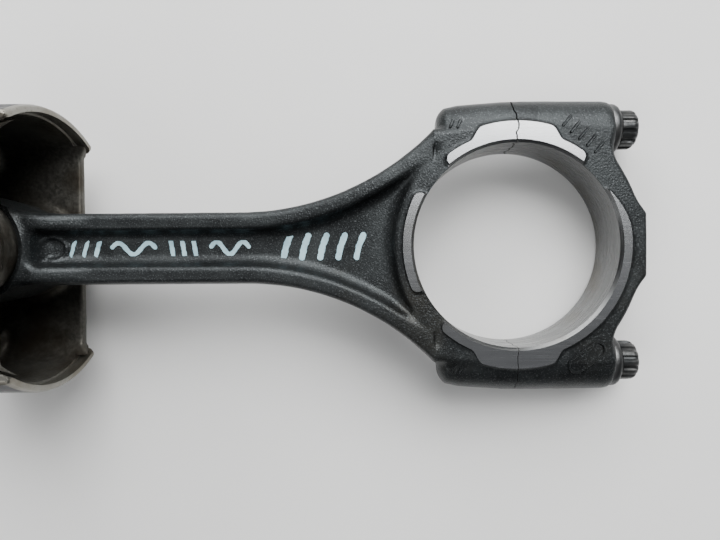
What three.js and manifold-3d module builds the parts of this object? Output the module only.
// Fracture-split connecting rod of a V8 engine with its box-type piston, as one loose assembly.
//
// Millimetres, +Z up. The rod lies flat: its length runs along X, the big end at +X and the piston crown at -X,
// and the crank bore and the wrist pin are parallel to Z. Shapes are drawn about the crank bore's centre and the
// last group moves everything so that the origin is the centre of the assembly's bounding box.
import * as THREE from "three";
import { mergeVertices } from "three/addons/utils/BufferGeometryUtils.js";
import Module from "manifold-3d";

const wasm = await Module();
wasm.setup();

// ---------------------------------------------------------------- driving dimensions
const TAU = 2 * Math.PI;

// Rod
const rodLength = 155; // crank bore centre to wrist pin centre
const crankBoreRadius = 28.8;
const boreChamfer = 0.8;
const bigEndHalfWidth = 9.2; // over the machined thrust pads
const forgedHalfWidth = 8.5; // forged skin of the big end
const beamHalfWidth = 7.2; // flanges of the I section, along Z
const beamHalfHeight = 10.7; // flanges of the I section, along Y
const flangeWidth = 5.2;
const webHalfThickness = 2.4;
const flareRadius = 77; // beam flange sweeping out to the bolt bosses
const flareStartX = -78;
const eyeRadius = 15.5;
const eyeHalfWidthLow = 11.1; // small end is wedge shaped: wide on the crank side
const eyeTaper = 0.08; // fall of the half width per millimetre towards the crown
const eyeLowX = -rodLength + 16;
const strapArcRadius = 50; // the cap's strap is two shallow arcs that meet under the balancing pad
const strapArcX = -12.8;
const strapArcY = 3.8;
const strapStartX = 20;
const capPadX = 36.8; // flat balancing pad on the cap's end
const capPadHalfHeight = 8.8;
const capPadBevelX = 1.8;
const capPadBevelY = 2.4;
const thrustRadius = 32.2;
const thrustLobeRadius = 35;

// Cap bolts, M8 with a twelve-point flange head
const boltY = 33.8;
const boltSeatX = 27.8;
const boltTipX = -16;
const boltHoleRadius = 4.1;
const boltShankRadius = 3.9;
const boltFlangeRadius = 7.4;
const boltFlangeHeight = 3;
const boltFlangeRim = 1.9; // straight part of the flange's edge
const boltHeadRadius = 5.7;
const boltHeadHeight = 5.1;
const boltDimpleRadius = 2.6;
const boltDimpleDepth = 1;
const boltFluteDepth = 0.7;
const bossRadius = 8.5;
const bossEndX = -21.6;

// Fracture line between rod and cap
const splitGap = 0.03;
const splitSteps = 36;

// Wrist pin, bush and circlips
const pinRadius = 11;
const pinHalfLength = 27;
const pinBoreRadius = 6.2;
const pinMouthRadius = 7.6;
const runningGap = 0.03;
const bushRadius = 12.3;
const clipWireRadius = 0.8;
const clipGrooveRadius = 12.1;
const clipZ = pinHalfLength + clipWireRadius + 0.15;

// Piston
const compressionHeight = 30;
const crownX = -rodLength - compressionHeight;
const landRadius = 41.9;
const skirtRadius = 42.2;
const skirtThickness = 2.7;
const skirtEndX = -136;
const boxWallEndX = -138.5;
const boxWallInner = 19;
const boxWallOuter = 22.5;
const beltEndX = crownX + 19.5;
const beltInnerRadius = 33;
const crownThickness = 7;
const pinBossRadius = 14.8;
const pinBossOuterZ = 30.2;
const pylonHalfHeight = 12;
const bossSideGap = 1.0; // beside the wedge-shaped small end
const dishRadius = 27;
const dishDepth = 2;
const valvePocketRadius = 14;
const valvePocketDepth = 1.4;

// Rings, at the diameter they have in the cylinder
const ringRadius = 42.25;
const ringSideGap = 0.05;
const ringEndGap = 0.45;
const grooveDepth = 3.9;
const ringSet = [
  { name: "top_ring", start: 5.6, height: 1.2, depth: 3.1 },
  { name: "second_ring", start: 11.1, height: 1.5, depth: 3.3 },
];
const oilGroove = { start: 14.9, height: 2.1 };
const railHeight = 0.45;
const railDepth = 2.4;

const boreSegments = 72;
const latheSegments = 48;
const ringSegments = 48;
const pinSegments = 40;
const boltSegments = 24;

const through = 20; // half length of a cutter that passes right through the rod along Z

// ---------------------------------------------------------------- geometry helpers
function toSolid(geometry) {
  const bare = geometry.clone();
  bare.deleteAttribute("normal");
  bare.deleteAttribute("uv");
  const merged = mergeVertices(bare, 1e-4);
  return new wasm.Manifold(
    new wasm.Mesh({
      numProp: 3,
      vertProperties: new Float32Array(merged.attributes.position.array),
      triVerts: new Uint32Array(merged.index.array),
    }),
  );
}

function toGeometry(solid) {
  const mesh = solid.getMesh();
  const geometry = new THREE.BufferGeometry();
  geometry.setAttribute("position", new THREE.BufferAttribute(mesh.vertProperties, 3));
  geometry.setIndex(new THREE.BufferAttribute(mesh.triVerts, 1));
  geometry.computeVertexNormals();
  return geometry;
}

// A plan outline (X, Y) raised from lowZ to highZ.
function plate(shape, lowZ, highZ, curveSegments = 24) {
  const geometry = new THREE.ExtrudeGeometry(shape, {
    depth: highZ - lowZ,
    bevelEnabled: false,
    curveSegments,
  });
  geometry.translate(0, 0, lowZ);
  return toSolid(geometry);
}

// A side outline (X, Z) pulled along Y over +-halfHeight.
function sidePlate(shape, halfHeight, curveSegments = 24) {
  const geometry = new THREE.ExtrudeGeometry(shape, {
    depth: 2 * halfHeight,
    bevelEnabled: false,
    curveSegments,
  });
  geometry.translate(0, 0, -halfHeight);
  geometry.rotateX(Math.PI / 2);
  return toSolid(geometry);
}

// An end outline, drawn as (Y, Z), pulled along X from lowX to highX.
function endPlate(shape, lowX, highX, curveSegments = 24) {
  const geometry = new THREE.ExtrudeGeometry(shape, {
    depth: highX - lowX,
    bevelEnabled: false,
    curveSegments,
  });
  geometry.rotateX(Math.PI / 2);
  geometry.rotateZ(Math.PI / 2);
  geometry.translate(lowX, 0, 0);
  return toSolid(geometry);
}

function box(low, high) {
  const size = high.map((value, i) => value - low[i]);
  const geometry = new THREE.BoxGeometry(...size);
  geometry.translate(...low.map((value, i) => value + size[i] / 2));
  return toSolid(geometry);
}

// A profile of [radius, distance along the axis] pairs, turned about X or about Z.
function turnedAboutX(profile, segments) {
  const points = profile.map(([radius, x]) => new THREE.Vector2(radius, x));
  const geometry = new THREE.LatheGeometry(points, segments);
  geometry.rotateZ(-Math.PI / 2);
  return geometry;
}

function turnedAboutZ(profile, segments) {
  const points = profile.map(([radius, z]) => new THREE.Vector2(radius, z));
  const geometry = new THREE.LatheGeometry(points, segments);
  geometry.rotateX(Math.PI / 2);
  return geometry;
}

function cylinderZ(radius, lowZ, highZ, segments, x = 0, y = 0) {
  const profile = [
    [0, lowZ],
    [radius, lowZ],
    [radius, highZ],
    [0, highZ],
  ];
  return toSolid(turnedAboutZ(profile, segments).translate(x, y, 0));
}

function cylinderX(radius, lowX, highX, segments, y = 0, z = 0) {
  const profile = [
    [0, lowX],
    [radius, lowX],
    [radius, highX],
    [0, highX],
  ];
  return toSolid(turnedAboutX(profile, segments).translate(0, y, z));
}

// A hole's corner radius that leaves its flats at the wanted radius.
function flatsAt(radius, segments) {
  return radius / Math.cos(Math.PI / segments);
}

// ---------------------------------------------------------------- rod forging
// Plan outline of beam and big end up to the bolt axes; the round outer edge comes from the bolt bosses.
function rodPlan() {
  const flareCentreY = beamHalfHeight + flareRadius;
  const flareEndX = bossEndX - 1;
  const swing = Math.asin((flareEndX - flareStartX) / flareRadius);
  const eyeSideY = eyeRadius - 2.6;
  const neckX = -rodLength + 12;
  const neckEndX = neckX + 18;
  const neckY = beamHalfHeight + 1.6;
  const upper = new THREE.Path();
  upper.moveTo(-rodLength, eyeSideY);
  upper.lineTo(neckX, neckY);
  upper.quadraticCurveTo(neckX + 6, beamHalfHeight + 0.3, neckEndX, beamHalfHeight);
  upper.lineTo(flareStartX, beamHalfHeight);
  upper.absarc(flareStartX, flareCentreY, flareRadius, -Math.PI / 2, -Math.PI / 2 + swing, false);
  upper.lineTo(bossEndX, boltY);
  upper.lineTo(boltSeatX, boltY);
  const half = upper.getPoints(12);
  const mirrored = half.map((p) => new THREE.Vector2(p.x, -p.y)).reverse();
  return new THREE.Shape([...mirrored, ...half]);
}

// Half of the side view (X, Z): wedge-shaped eye, slim beam, thicker big end.
function rodSide() {
  const eyeTopX = -rodLength - eyeRadius - 1;
  const beamThickensX = -62;
  const bigEndFullX = -42;
  const upper = [
    [eyeTopX, eyeHalfWidthLow - eyeTaper * (eyeLowX - eyeTopX)],
    [eyeLowX, eyeHalfWidthLow],
    [eyeLowX + 4, eyeHalfWidthLow - 0.4],
    [eyeLowX + 10, beamHalfWidth + 1.2],
    [eyeLowX + 18, beamHalfWidth],
    [beamThickensX, beamHalfWidth],
    [bigEndFullX, forgedHalfWidth],
    [capPadX + 1, forgedHalfWidth],
  ];
  const points = upper.map(([x, z]) => new THREE.Vector2(x, z));
  const mirrored = upper.map(([x, z]) => new THREE.Vector2(x, -z)).reverse();
  return new THREE.Shape([...points, ...mirrored]);
}

// Pocket that leaves the web between the flanges, ending in two horns beside the crank bore.
function recessPlan() {
  const halfHeight = beamHalfHeight - flangeWidth;
  const cornerRadius = 3;
  const leftX = -139.5;
  const hornX = -32;
  const tipX = -28.6;
  const arcRadius = 33.6;
  const innerFlare = flareRadius + flangeWidth;
  const centreY = halfHeight + innerFlare;
  const swing = Math.asin((hornX - flareStartX) / innerFlare);
  const tipY = Math.sqrt(arcRadius ** 2 - tipX ** 2);
  const hornY = centreY - innerFlare * Math.cos(swing);
  const upper = new THREE.Path();
  upper.moveTo(leftX, halfHeight - cornerRadius);
  upper.absarc(leftX + cornerRadius, halfHeight - cornerRadius, cornerRadius, Math.PI, Math.PI / 2, true);
  upper.lineTo(flareStartX, halfHeight);
  upper.absarc(flareStartX, centreY, innerFlare, -Math.PI / 2, -Math.PI / 2 + swing, false);
  upper.quadraticCurveTo(tipX + 0.6, hornY + 2.2, tipX, tipY);
  upper.absarc(0, 0, arcRadius, Math.atan2(tipY, tipX), Math.PI, false);
  const half = upper.getPoints(10);
  half.pop();
  const mirrored = half.map((p) => new THREE.Vector2(p.x, -p.y)).reverse();
  return new THREE.Shape([...mirrored, ...half]);
}

// Ring sector between two angles in degrees, the thrust pads' building block.
function ringSector(innerRadius, outerRadius, fromDeg, toDeg) {
  const from = THREE.MathUtils.degToRad(fromDeg);
  const to = THREE.MathUtils.degToRad(toDeg);
  const shape = new THREE.Shape();
  shape.absarc(0, 0, outerRadius, from, to, false);
  shape.absarc(0, 0, innerRadius, to, from, true);
  shape.closePath();
  return shape;
}

// Three raised pads round the bore, two of them with a wider lobe at the joint: outer radius and the angles in
// degrees where each starts and ends.
function thrustPads() {
  const sectors = [
    [thrustRadius, 52, 129],
    [thrustLobeRadius, 73, 107],
    [thrustRadius, 150, 205],
    [thrustRadius, -133, 32],
    [thrustLobeRadius, -107, -73],
  ];
  return sectors
    .map(([outer, from, to]) => {
      const sector = ringSector(crankBoreRadius - 1, outer, from, to);
      return plate(sector, -bigEndHalfWidth, bigEndHalfWidth, 10);
    })
    .reduce((a, b) => a.add(b));
}

// Spindle-shaped boss round one bolt.
function boltBoss(side) {
  const profile = [
    [0, bossEndX],
    [bossRadius - 3.6, bossEndX],
    [bossRadius - 1.8, bossEndX + 2],
    [bossRadius - 0.9, bossEndX + 6],
    [bossRadius - 0.1, -3],
    [bossRadius, 3],
    [bossRadius - 0.2, 13],
    [bossRadius - 0.9, boltSeatX - 3],
    [bossRadius - 1.8, boltSeatX],
    [0, boltSeatX],
  ];
  return toSolid(turnedAboutX(profile, boltSegments).translate(0, side * boltY, 0));
}

function wholeForging() {
  const eye = cylinderZ(eyeRadius, -through, through, pinSegments, -rodLength);
  const strap = [-1, 1]
    .map((side) => cylinderZ(strapArcRadius, -forgedHalfWidth, forgedHalfWidth, 96, strapArcX, side * strapArcY))
    .reduce((a, b) => a.intersect(b))
    .intersect(box([strapStartX, -boltY, -through], [capPadX, boltY, through]));
  const bevelX = capPadX - capPadBevelX;
  const bevelY = capPadHalfHeight + capPadBevelY;
  const pad = new THREE.Shape();
  pad.moveTo(0, -bevelY);
  pad.lineTo(bevelX, -bevelY);
  pad.lineTo(capPadX, -capPadHalfHeight);
  pad.lineTo(capPadX, capPadHalfHeight);
  pad.lineTo(bevelX, bevelY);
  pad.lineTo(0, bevelY);
  const blank = plate(rodPlan(), -through, through)
    .add(eye)
    .intersect(sidePlate(rodSide(), 60))
    .add(strap)
    .add(plate(pad, -forgedHalfWidth, forgedHalfWidth))
    .add(boltBoss(1))
    .add(boltBoss(-1));
  const pocket = recessPlan();
  return blank
    .subtract(plate(pocket, webHalfThickness, through))
    .subtract(plate(pocket, -through, -webHalfThickness));
}

// Crank bore with a chamfer at each mouth.
function crankBoreCutter() {
  const reach = bigEndHalfWidth + 2;
  const mouth = crankBoreRadius + boreChamfer;
  const chamferStart = bigEndHalfWidth - boreChamfer;
  const profile = [
    [0, -reach],
    [mouth, -reach],
    [mouth, -bigEndHalfWidth],
    [crankBoreRadius, -chamferStart],
    [crankBoreRadius, chamferStart],
    [mouth, bigEndHalfWidth],
    [mouth, reach],
    [0, reach],
  ];
  return toSolid(turnedAboutZ(profile, boreSegments));
}

function boltHole(side) {
  return cylinderX(boltHoleRadius, boltTipX - 2.5, boltSeatX + 1, boltSegments, side * boltY);
}

// Offset of the cracked joint face from X = 0: an irregular, repeatable ripple.
function fractureX(y) {
  return 0.45 * Math.sin(y * 0.9) + 0.25 * Math.sin(y * 2.3 + 1) - 0.012 * Math.abs(y);
}

// Everything on the cap's side of the cracked face, shifted along X by a hair for the joint gap.
function capSide(shift) {
  const reach = 50;
  const outline = new THREE.Shape();
  outline.moveTo(reach, -reach);
  outline.lineTo(reach, reach);
  for (let i = 0; i <= splitSteps; i += 1) {
    const y = reach - (2 * reach * i) / splitSteps;
    outline.lineTo(fractureX(y) + shift, y);
  }
  return plate(outline, -through, through);
}

function splitForging() {
  const bushHole = flatsAt(bushRadius + 0.02, pinSegments);
  const machined = wholeForging()
    .add(thrustPads())
    .subtract(crankBoreCutter())
    .subtract(cylinderZ(bushHole, -through, through, pinSegments, -rodLength))
    .subtract(boltHole(1))
    .subtract(boltHole(-1));
  return {
    body: machined.subtract(capSide(-splitGap / 2)),
    cap: machined.intersect(capSide(splitGap / 2)),
  };
}

// ---------------------------------------------------------------- cap bolts
function capBolt() {
  const headStart = boltSeatX + boltFlangeHeight;
  const headEnd = headStart + boltHeadHeight;
  const shankStart = boltSeatX + 0.02;
  const waistRadius = boltShankRadius - 0.5;
  const turned = toSolid(
    turnedAboutX(
      [
        [0, boltTipX],
        [boltShankRadius - 1, boltTipX],
        [boltShankRadius, boltTipX + 1],
        [boltShankRadius, 0],
        [waistRadius, 1.5],
        [waistRadius, shankStart - 9],
        [boltShankRadius, shankStart - 7.5],
        [boltShankRadius, shankStart],
        [boltFlangeRadius, shankStart],
        [boltFlangeRadius, shankStart + boltFlangeRim],
        [boltHeadRadius + 0.4, headStart],
        [boltHeadRadius - 0.9, headStart],
        [boltHeadRadius - 0.9, headEnd],
        [0, headEnd],
      ],
      boltSegments,
    ),
  );
  const points = 12;
  const star = new THREE.Shape();
  for (let i = 0; i < points; i += 1) {
    const mid = (TAU * i) / points;
    const corners = [
      [-0.34, boltHeadRadius - boltFluteDepth],
      [-0.2, boltHeadRadius],
      [0.2, boltHeadRadius],
      [0.34, boltHeadRadius - boltFluteDepth],
    ];
    corners.forEach(([share, radius], k) => {
      const angle = mid + (TAU * share) / points;
      const place = [radius * Math.cos(angle), radius * Math.sin(angle)];
      if (i === 0 && k === 0) star.moveTo(...place);
      else star.lineTo(...place);
    });
  }
  const dimple = cylinderX(boltDimpleRadius, headEnd - boltDimpleDepth, headEnd + 1, 16);
  return turned.add(endPlate(star, headStart - 0.2, headEnd - 0.3)).subtract(dimple);
}

// ---------------------------------------------------------------- wrist pin, bush and circlips
function smallEndWedge(extra) {
  const topX = -rodLength - 24;
  const lowX = -rodLength + 19;
  const halfAt = (x) => eyeHalfWidthLow + extra - eyeTaper * (eyeLowX - x);
  const shape = new THREE.Shape();
  shape.moveTo(topX, -halfAt(topX));
  shape.lineTo(lowX, -halfAt(lowX));
  shape.lineTo(lowX, halfAt(lowX));
  shape.lineTo(topX, halfAt(topX));
  return shape;
}

function smallEndBush() {
  const bore = flatsAt(pinRadius + runningGap, pinSegments);
  return cylinderZ(bushRadius, -through, through, pinSegments, -rodLength)
    .subtract(cylinderZ(bore, -through - 1, through + 1, pinSegments, -rodLength))
    .intersect(sidePlate(smallEndWedge(0), through));
}

function wristPin() {
  const edge = 0.6;
  const mouthDepth = 7;
  const profile = [
    [pinMouthRadius, -pinHalfLength],
    [pinRadius - edge, -pinHalfLength],
    [pinRadius, -pinHalfLength + edge],
    [pinRadius, pinHalfLength - edge],
    [pinRadius - edge, pinHalfLength],
    [pinMouthRadius, pinHalfLength],
    [pinBoreRadius, pinHalfLength - mouthDepth],
    [pinBoreRadius, -pinHalfLength + mouthDepth],
    [pinMouthRadius, -pinHalfLength],
  ];
  return toSolid(turnedAboutZ(profile, pinSegments).translate(-rodLength, 0, 0));
}

// Round-wire clip lying in its groove, open towards the crown.
function circlip(z) {
  const clipRadius = clipGrooveRadius - clipWireRadius - 0.08;
  const halfOpening = 0.42;
  const steps = 28;
  const section = new THREE.Shape();
  section.absarc(0, 0, clipWireRadius, 0, TAU, false);
  const points = [];
  for (let i = 0; i <= steps; i += 1) {
    const angle = Math.PI + halfOpening + ((TAU - 2 * halfOpening) * i) / steps;
    points.push(new THREE.Vector3(clipRadius * Math.cos(angle), clipRadius * Math.sin(angle), 0));
  }
  const geometry = new THREE.ExtrudeGeometry(section, {
    steps,
    curveSegments: 4,
    bevelEnabled: false,
    extrudePath: new THREE.CatmullRomCurve3(points),
  });
  geometry.translate(-rodLength, 0, z);
  return toSolid(geometry);
}

// ---------------------------------------------------------------- piston
// Crown and ring belt, with the ring grooves in the profile.
function ringBelt() {
  const grooveRoot = landRadius - grooveDepth;
  const grooves = [...ringSet, oilGroove].flatMap(({ start, height }) => {
    const near = crownX + start;
    const far = near + height + 2 * ringSideGap;
    return [
      [landRadius, near],
      [grooveRoot, near],
      [grooveRoot, far],
      [landRadius, far],
    ];
  });
  const profile = [
    [0, crownX + dishDepth],
    [dishRadius - 6, crownX + dishDepth],
    [dishRadius, crownX],
    [landRadius - 0.9, crownX],
    [landRadius - 0.3, crownX + 0.6],
    ...grooves,
    [landRadius, beltEndX],
    [beltInnerRadius, beltEndX],
    [beltInnerRadius, crownX + crownThickness + 4],
    [beltInnerRadius - 5, crownX + crownThickness],
    [0, crownX + crownThickness],
  ];
  return toSolid(turnedAboutX(profile, latheSegments));
}

// Four shallow pockets that clear the valves.
function valvePockets() {
  const placeY = 16;
  const placeZ = 17;
  const cutters = [];
  for (const sideY of [-1, 1]) {
    for (const sideZ of [-1, 1]) {
      const cutter = turnedAboutX(
        [
          [0, -6],
          [valvePocketRadius, -6],
          [valvePocketRadius, valvePocketDepth],
          [0, valvePocketDepth],
        ],
        20,
      );
      cutter.rotateZ(sideY * 0.12);
      cutter.translate(crownX, sideY * placeY, sideZ * placeZ);
      cutters.push(toSolid(cutter));
    }
  }
  return cutters.reduce((a, b) => a.add(b));
}

// Closed outline (Y, Z) of two thrust skirts joined by two flat walls.
function boxOutline(radius, halfZ) {
  const reach = Math.asin(halfZ / radius);
  const outline = new THREE.Path();
  outline.absarc(0, 0, radius, -reach, reach, false);
  outline.absarc(0, 0, radius, Math.PI - reach, Math.PI + reach, false);
  return outline.getPoints(10);
}

function skirtBox() {
  const outer = new THREE.Shape(boxOutline(skirtRadius, boxWallOuter));
  outer.holes.push(new THREE.Path(boxOutline(skirtRadius - skirtThickness, boxWallInner)));
  const wallTrimY = 34;
  const shell = endPlate(outer, beltEndX - 0.6, skirtEndX);
  const trim = box([boxWallEndX, -wallTrimY, -50], [skirtEndX + 1, wallTrimY, 50]);
  return shell.subtract(trim);
}

// Walls inside the ring belt, up to the crown.
function innerWalls() {
  const startX = crownX + crownThickness - 1;
  const reachY = 27;
  return [-1, 1].map((side) => {
    const zs = [side * boxWallInner, side * boxWallOuter].sort((a, b) => a - b);
    return box([startX, -reachY, zs[0]], [beltEndX + 1, reachY, zs[1]]);
  });
}

function pinBosses() {
  const startX = crownX + crownThickness - 1;
  return [-1, 1].map((side) => {
    const near = 6;
    const lowZ = side > 0 ? near : -pinBossOuterZ;
    const highZ = side > 0 ? pinBossOuterZ : -near;
    const boss = cylinderZ(pinBossRadius, lowZ, highZ, 32, -rodLength);
    const pylonZ = [side * near, side * (pinBossOuterZ - 3)].sort((a, b) => a - b);
    const pylon = box([startX, -pylonHalfHeight, pylonZ[0]], [-rodLength, pylonHalfHeight, pylonZ[1]]);
    return boss.add(pylon);
  });
}

function pinBoreCutter() {
  const pinHole = flatsAt(pinRadius + runningGap, pinSegments);
  const grooveLow = clipZ - clipWireRadius - 0.08;
  const grooveHigh = clipZ + clipWireRadius + 0.08;
  const reach = pinBossOuterZ + 1;
  const half = [
    [pinHole, grooveLow],
    [clipGrooveRadius, grooveLow],
    [clipGrooveRadius, grooveHigh],
    [pinHole, grooveHigh],
    [pinHole, pinBossOuterZ - 0.8],
    [pinHole + 1.2, reach],
  ];
  const mirrored = half.map(([radius, z]) => [radius, -z]).reverse();
  const profile = [[0, -reach], ...mirrored, ...half, [0, reach]];
  return toSolid(turnedAboutZ(profile, pinSegments).translate(-rodLength, 0, 0));
}

function pistonBody() {
  return [ringBelt(), skirtBox(), ...innerWalls(), ...pinBosses()]
    .reduce((a, b) => a.add(b))
    .subtract(sidePlate(smallEndWedge(bossSideGap), eyeRadius + 2))
    .subtract(pinBoreCutter())
    .subtract(valvePockets());
}

// ---------------------------------------------------------------- rings
// A split ring of rectangular section lying in its groove; gapDeg turns its end gap round the piston.
function splitRing(start, height, outerRadius, depth, gapDeg) {
  const near = crownX + start + ringSideGap;
  const far = near + height;
  const inner = outerRadius - depth;
  const profile = [
    [inner, near],
    [outerRadius, near],
    [outerRadius, far],
    [inner, far],
    [inner, near],
  ];
  const ring = toSolid(turnedAboutX(profile, ringSegments));
  const opening = box([near - 1, inner - 1, -ringEndGap / 2], [far + 1, outerRadius + 1, ringEndGap / 2]);
  return ring.subtract(opening).rotate([gapDeg, 0, 0]);
}

// Corrugated spring that holds the two oil rails apart, its waves facing in and out.
function oilExpander() {
  const start = crownX + oilGroove.start + ringSideGap + railHeight + 0.03;
  const height = oilGroove.height - 2 * railHeight - 0.06;
  const waves = 48;
  const middle = ringRadius - 1.5;
  const swing = 0.5;
  const halfThickness = 0.35;
  const steps = waves * 2;
  const openShare = 0.004;
  const outline = new THREE.Shape();
  const rim = (offset, i) => {
    const angle = TAU * (openShare + ((1 - 2 * openShare) * i) / steps);
    const radius = middle + (i % 2 ? swing : -swing) + offset;
    return [radius * Math.cos(angle), radius * Math.sin(angle)];
  };
  outline.moveTo(...rim(halfThickness, 0));
  for (let i = 1; i <= steps; i += 1) outline.lineTo(...rim(halfThickness, i));
  for (let i = steps; i >= 0; i -= 1) outline.lineTo(...rim(-halfThickness, i));
  return endPlate(outline, start, start + height);
}

// ---------------------------------------------------------------- assembly
const finishes = {
  forged: { color: 0x2c2f30, roughness: 0.55, metalness: 0.85 },
  bolt: { color: 0x1e2021, roughness: 0.42, metalness: 0.85 },
  bronze: { color: 0x9a7440, roughness: 0.35, metalness: 0.9 },
  pin: { color: 0xb9bdc0, roughness: 0.15, metalness: 1 },
  spring: { color: 0x55585a, roughness: 0.35, metalness: 1 },
  piston: { color: 0x8d8f8b, roughness: 0.5, metalness: 0.8 },
  ring: { color: 0x6d7072, roughness: 0.3, metalness: 1 },
};

const assembly = new THREE.Group();
assembly.position.x = -(crownX + capPadX) / 2;

function addPart(parent, name, solid, finish) {
  const mesh = new THREE.Mesh(toGeometry(solid), new THREE.MeshStandardMaterial(finishes[finish]));
  mesh.name = name;
  parent.add(mesh);
  return mesh;
}

const forging = splitForging();
addPart(assembly, "rod_body", forging.body, "forged");
addPart(assembly, "rod_cap", forging.cap, "forged");
addPart(assembly, "small_end_bush", smallEndBush(), "bronze");

const bolt = capBolt();
addPart(assembly, "cap_bolt_left", bolt, "bolt").position.y = boltY;
addPart(assembly, "cap_bolt_right", bolt, "bolt").position.y = -boltY;

addPart(assembly, "piston", pistonBody(), "piston");
addPart(assembly, "wrist_pin", wristPin(), "pin");
addPart(assembly, "circlip_upper", circlip(clipZ), "spring");
addPart(assembly, "circlip_lower", circlip(-clipZ), "spring");

ringSet.forEach(({ name, start, height, depth }, i) => {
  addPart(assembly, name, splitRing(start, height, ringRadius, depth, 60 + 180 * i), "ring");
});
const railStarts = [oilGroove.start, oilGroove.start + oilGroove.height - railHeight];
["oil_rail_crown_side", "oil_rail_skirt_side"].forEach((name, i) => {
  addPart(assembly, name, splitRing(railStarts[i], railHeight, ringRadius, railDepth, 30 + 100 * i), "ring");
});
addPart(assembly, "oil_ring_expander", oilExpander(), "spring");

export default assembly;
